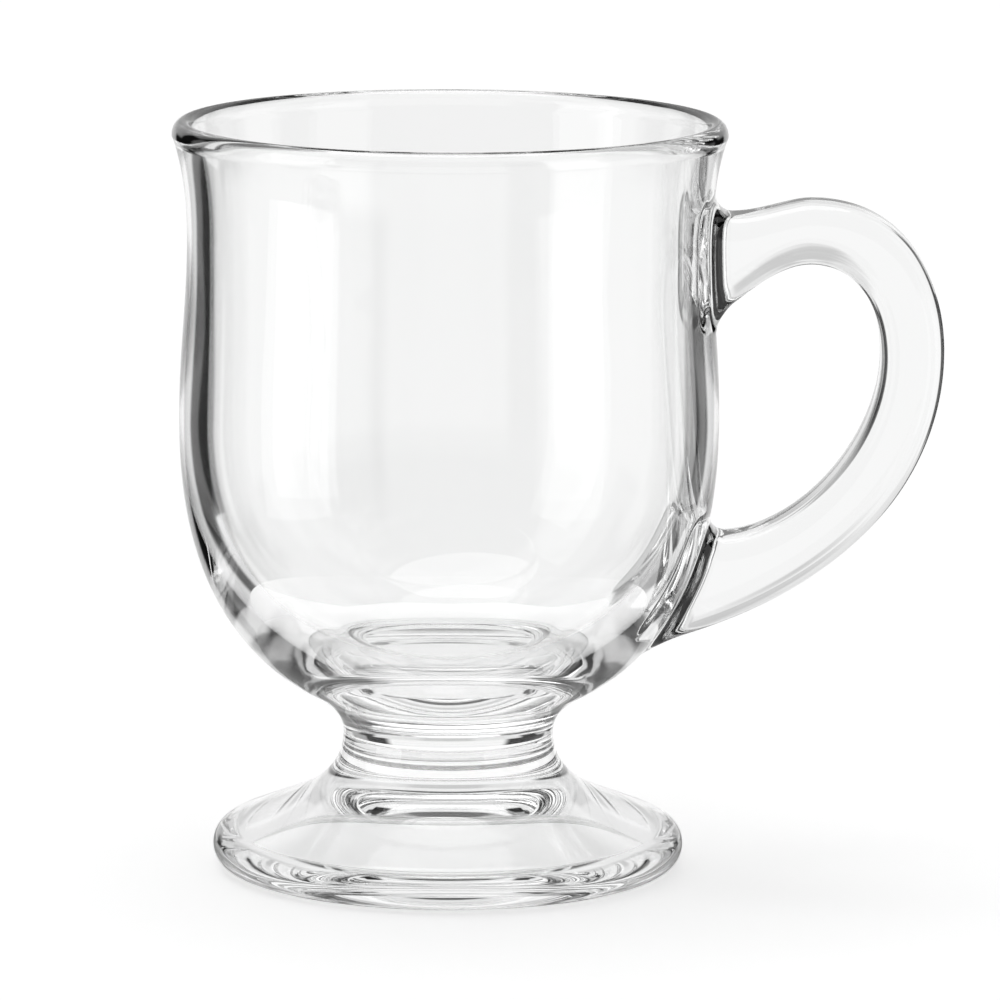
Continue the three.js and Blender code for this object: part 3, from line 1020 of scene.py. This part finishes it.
def floor_ring(name, inner, outer, material):
    """A flat ring of floor, or a disc where it has no inner edge."""
    mesh = bpy.data.meshes.new(name)
    angle = 2 * math.pi * np.arange(TURNS) / TURNS
    places = [(outer * math.cos(a), outer * math.sin(a), -FLOOR_DROP) for a in angle]
    if inner > 0:
        places += [(inner * math.cos(a), inner * math.sin(a), -FLOOR_DROP) for a in angle]
        faces = [
            (i, (i + 1) % TURNS, TURNS + (i + 1) % TURNS, TURNS + i) for i in range(TURNS)
        ]
    else:
        faces = [tuple(range(TURNS))]
    mesh.from_pydata(places, [], faces)
    mesh.materials.append(material)
    floor = bpy.data.objects.new(name, mesh)
    scene.collection.objects.link(floor)
    return floor


floor_material = pale_floor("pale_floor")
floor_ring("near_floor", 0.0, NEAR_FLOOR, floor_material)
far_floor = floor_ring("far_floor", NEAR_FLOOR, FAR_FLOOR, floor_material)
far_floor.visible_glossy = False
far_floor.visible_transmission = False


def soft_box(name, bearing, width, power):
    """A soft box at a bearing in degrees, measured from the camera's side, right positive."""
    data = bpy.data.lights.new(name, "AREA")
    data.shape = "RECTANGLE"
    data.size = width
    data.size_y = BOX_TALL
    data.energy = power
    lamp = bpy.data.objects.new(name, data)
    angle = math.radians(bearing)
    lamp.location = (BOX_DISTANCE * math.sin(angle), -BOX_DISTANCE * math.cos(angle), BOX_HEIGHT)
    aim = Vector((0.0, 0.0, BOX_HEIGHT)) - Vector(lamp.location)
    lamp.rotation_euler = aim.to_track_quat("-Z", "Y").to_euler()
    lamp.visible_diffuse = False
    scene.collection.objects.link(lamp)


soft_box("left_soft_box", LEFT_BOX_BEARING, LEFT_BOX_WIDTH, LEFT_BOX_POWER)
soft_box("right_soft_box", RIGHT_BOX_BEARING, RIGHT_BOX_WIDTH, RIGHT_BOX_POWER)

high_light_data = bpy.data.lights.new("high_soft_light", "SUN")
high_light_data.energy = HIGH_LIGHT_POWER
high_light_data.angle = HIGH_LIGHT_SPREAD
high_light = bpy.data.objects.new("high_soft_light", high_light_data)
high_light.rotation_euler = HIGH_LIGHT_AIM.to_track_quat("-Z", "Y").to_euler()
scene.collection.objects.link(high_light)

world = bpy.data.worlds.new("studio")
scene.world = world
world.use_nodes = True
sky = world.node_tree
heading = add_node(sky, "ShaderNodeTexCoord")
compass = add_node(sky, "ShaderNodeSeparateXYZ", {"Vector": heading.outputs["Generated"]})
bearing = add_node(
    sky, "ShaderNodeMath", {0: compass.outputs["X"], 1: compass.outputs["Y"]}, operation="ARCTAN2"
)
round_share = add_node(
    sky, "ShaderNodeMath",
    {0: bearing.outputs[0], 1: 0.5 / math.pi, 2: 0.5}, operation="MULTIPLY_ADD",
)


def studio_ring(stops):
    """The brightness of the studio all round at one height, as (bearing, brightness) stops. The
    backdrop is at 0 degrees, the right side at 90, the left side at -90, the camera at 180."""
    ramp = add_node(sky, "ShaderNodeValToRGB", {"Fac": round_share.outputs[0]})
    points = ramp.color_ramp.elements
    while len(points) < len(stops):
        points.new(0.5)
    for point, (degrees, bright) in zip(points, stops):
        point.position = degrees / 360.0 + 0.5
        point.color = (bright, bright, bright, 1.0)
    return ramp.outputs[0]


def rising(first, last):
    """0 below the first elevation and 1 above the last, both in degrees."""
    rise = add_node(
        sky, "ShaderNodeMapRange",
        {
            "Value": compass.outputs["Z"],
            "From Min": math.sin(math.radians(first)),
            "From Max": math.sin(math.radians(last)),
        },
        interpolation_type="SMOOTHSTEP",
    )
    return rise.outputs[0]


def blended(share, first, second, blend_type="MIX"):
    """Two colours mixed by a share."""
    mix = add_node(sky, "ShaderNodeMix", data_type="RGBA", blend_type=blend_type)
    for socket, value in ((mix.inputs[0], share), (mix.inputs[6], first), (mix.inputs[7], second)):
        if isinstance(value, bpy.types.NodeSocket):
            sky.links.new(value, socket)
        else:
            socket.default_value = value
    return mix.outputs[2]


BACKDROP = 0.97
TABLE_TO_LEVEL = (-30, -18)
LEVEL_TO_UPPER = (0, 6)
UPPER_TO_HIGH = (18, 23)
HIGH_TO_CEILING = (32, 38)
CEILING_TO_OVERHEAD = (52, 68)
CARD_LIGHT = 0.85
CARD_FOOT = (-29, -28)
CARD_TOP = (-22, -21)
SOFT_LIGHT = (0.26, 0.26, 0.26, 1.0)
GLASS_BOUNCES = 24
MIRROR_BOUNCES = 16
JOINT_BOUNCES = 64

table_ring = studio_ring([
    (-180, 0.74), (-142, 0.74), (-136, 0.88), (-88, 0.88), (-80, 0.60), (-76, 0.60), (-72, 0.15),
    (-54, 0.15), (-51, 0.88), (-39, 0.88), (-36, 0.15), (-29, 0.15), (-25, 0.98), (25, 0.98),
    (28, 0.50), (36, 0.50), (38, 0.60), (80, 0.60), (88, 0.88), (136, 0.88), (142, 0.74), (180, 0.74),
])
level_ring = studio_ring([
    (-180, 0.66), (-154, 0.66), (-150, 0.02), (-129, 0.02), (-127, 0.94), (-97, 0.94), (-95, 0.80),
    (-58, 0.80), (-55, 0.02), (-26, 0.02), (-23, BACKDROP), (23, BACKDROP), (26, 0.02), (38, 0.02),
    (40, 0.38), (54, 0.38), (57, 0.95), (137, 0.95), (140, 0.66), (180, 0.66),
])
upper_ring = studio_ring([
    (-180, 0.03), (-107, 0.03), (-104, 0.70), (-84, 0.70), (-80, 0.03), (-64, 0.03), (-60, 0.60),
    (-48, 0.60), (-45, 0.03), (-35, 0.03), (-32, 0.80), (-12, 0.80), (-8, 0.62), (8, 0.62), (12, 0.80),
    (32, 0.80), (35, 0.03), (45, 0.03), (48, 0.40), (56, 0.40), (60, 0.03), (66, 0.03), (70, 0.70),
    (90, 0.70), (93, 0.03), (180, 0.03),
])
high_ring = studio_ring([
    (-180, 0.03), (-112, 0.03), (-104, 0.70), (-86, 0.70), (-78, 0.03), (-48, 0.03), (-38, 0.90),
    (38, 0.90), (48, 0.03), (64, 0.03), (72, 0.70), (90, 0.70), (98, 0.03), (180, 0.03),
])
ceiling_ring = studio_ring([
    (-180, 0.02), (-116, 0.02), (-108, 0.80), (-90, 0.80), (-82, 0.02), (-46, 0.02), (-38, 0.50),
    (-28, 0.50), (-20, 0.08), (20, 0.08), (28, 0.50), (38, 0.50), (46, 0.02), (72, 0.02), (80, 0.70),
    (94, 0.70), (102, 0.02), (180, 0.02),
])
overhead_ring = studio_ring([
    (-180, 0.05), (-120, 0.05), (-105, 0.40), (-35, 0.40), (-20, 0.08), (20, 0.08), (35, 0.35),
    (95, 0.35), (110, 0.05), (180, 0.05),
])
studio = blended(rising(*TABLE_TO_LEVEL), table_ring, level_ring)
studio = blended(rising(*LEVEL_TO_UPPER), studio, upper_ring)
studio = blended(rising(*UPPER_TO_HIGH), studio, high_ring)
studio = blended(rising(*HIGH_TO_CEILING), studio, ceiling_ring)
studio = blended(rising(*CEILING_TO_OVERHEAD), studio, overhead_ring)
corner_card = studio_ring([
    (-180, 0.0), (-52, 0.0), (-50, CARD_LIGHT), (-40, CARD_LIGHT), (-38, 0.0), (180, 0.0),
])
card_span = blended(rising(*CARD_TOP), rising(*CARD_FOOT), BLACK)
card_light = blended(1.0, corner_card, card_span, "MULTIPLY")
studio = blended(1.0, studio, card_light, "LIGHTEN")
path = add_node(sky, "ShaderNodeLightPath")
shown = blended(path.outputs["Is Glossy Ray"], SOFT_LIGHT, studio)
shown = blended(path.outputs["Is Transmission Ray"], shown, studio)
shown = blended(path.outputs["Is Camera Ray"], shown, WHITE)
sky.links.new(shown, sky.nodes["Background"].inputs["Color"])

scene.cycles.max_bounces = GLASS_BOUNCES
scene.cycles.transmission_bounces = GLASS_BOUNCES
scene.cycles.glossy_bounces = MIRROR_BOUNCES
scene.cycles.transparent_max_bounces = JOINT_BOUNCES
